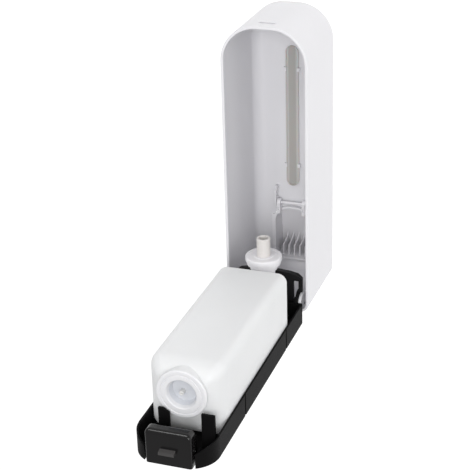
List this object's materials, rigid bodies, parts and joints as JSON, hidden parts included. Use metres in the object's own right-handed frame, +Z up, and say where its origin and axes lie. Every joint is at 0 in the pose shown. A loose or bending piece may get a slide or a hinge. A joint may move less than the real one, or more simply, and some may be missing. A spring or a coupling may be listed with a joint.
{
  "type": "wall mounted soap dispenser",
  "caption": "A wall mounted liquid soap dispenser, its white cover swung down on its hinge to show the black back plate, the milky refill bottle and the push pump.",
  "frame": {"origin": "On the wall, at the centre of the back face of the back plate, between the four screw holes.", "axes": "+Z is up the wall, -Y points out of the wall into the room, +X is to the right of someone facing the wall."},
  "size_m": [0.092, 0.3277, 0.4234],
  "materials": {
    "black_plastic": "fine textured black plastic",
    "cradle_black": "smooth black plastic",
    "latch_grey": "glossy dark grey plastic",
    "white_shell": "satin white plastic",
    "lever_white": "satin white plastic",
    "smoke_clear": "frosted translucent plastic",
    "milky": "milky translucent plastic",
    "milky_cap": "milky moulded plastic",
    "pump_white": "satin off-white plastic",
    "nut_grey": "satin light grey plastic",
    "soft_white": "soft white silicone",
    "spring_steel": "bright drawn wire",
    "screw_steel": "zinc plated",
    "ball_steel": "polished ball"
  },
  "bodies": {
    "base": {"back_plate": "black_plastic", "pump_cradle": "cradle_black", "cradle_screws": "screw_steel", "hinge_pins": "spring_steel", "latch_spring": "spring_steel"},
    "latch": {"latch_button": "latch_grey"},
    "cover": {"cover_shell": "white_shell", "window_strip": "smoke_clear", "lever_pin": "lever_white"},
    "lever": {"push_lever": "lever_white"},
    "refill": {"bottle": "milky", "neck_nut": "nut_grey", "neck_seal": "soft_white", "pump_body": "pump_white", "pump_collar": "pump_white", "nozzle": "pump_white", "inlet_ball": "ball_steel", "outlet_valve": "soft_white", "pump_spring": "spring_steel"},
    "cap": {"refill_cap": "milky_cap", "cap_seal": "soft_white", "vent_valve": "soft_white"},
    "push": {"plunger": "pump_white", "plunger_seal": "soft_white"}
  },
  "joints": [
    {"name": "cover_hinge", "type": "hinge", "parent": "base", "child": "cover", "pos_m": [0, -0.0154, -0.1606], "axis": [-1, 0, 0], "range_deg": [0, 90]},
    {"name": "lever_pivot", "type": "hinge", "parent": "cover", "child": "lever", "pos_m": [0, -0.097, -0.2387], "axis": [1, 0, 0], "range_deg": [0, 7]},
    {"name": "plunger_slide", "type": "slide", "parent": "refill", "child": "push", "axis": [0, 1, 0], "range_m": [0, 0.008], "stiffness_N_per_m": 400, "springref_m": -0.002, "deforming": ["pump_spring"]},
    {"name": "latch_press", "type": "slide", "parent": "base", "child": "latch", "axis": [0, 0, -1], "range_m": [0, 0.0035], "stiffness_N_per_m": 400, "springref_m": -0.002, "deforming": ["latch_spring"]},
    {"name": "bottle_lift", "type": "slide", "parent": "base", "child": "refill", "axis": [0, 1, 0], "range_m": [-0.06, 0]},
    {"name": "cap_turn", "type": "hinge", "parent": "refill", "child": "cap", "pos_m": [0, -0.0535, 0.1], "axis": [0, 0, 1], "range_deg": [0, 90]}
  ]
}
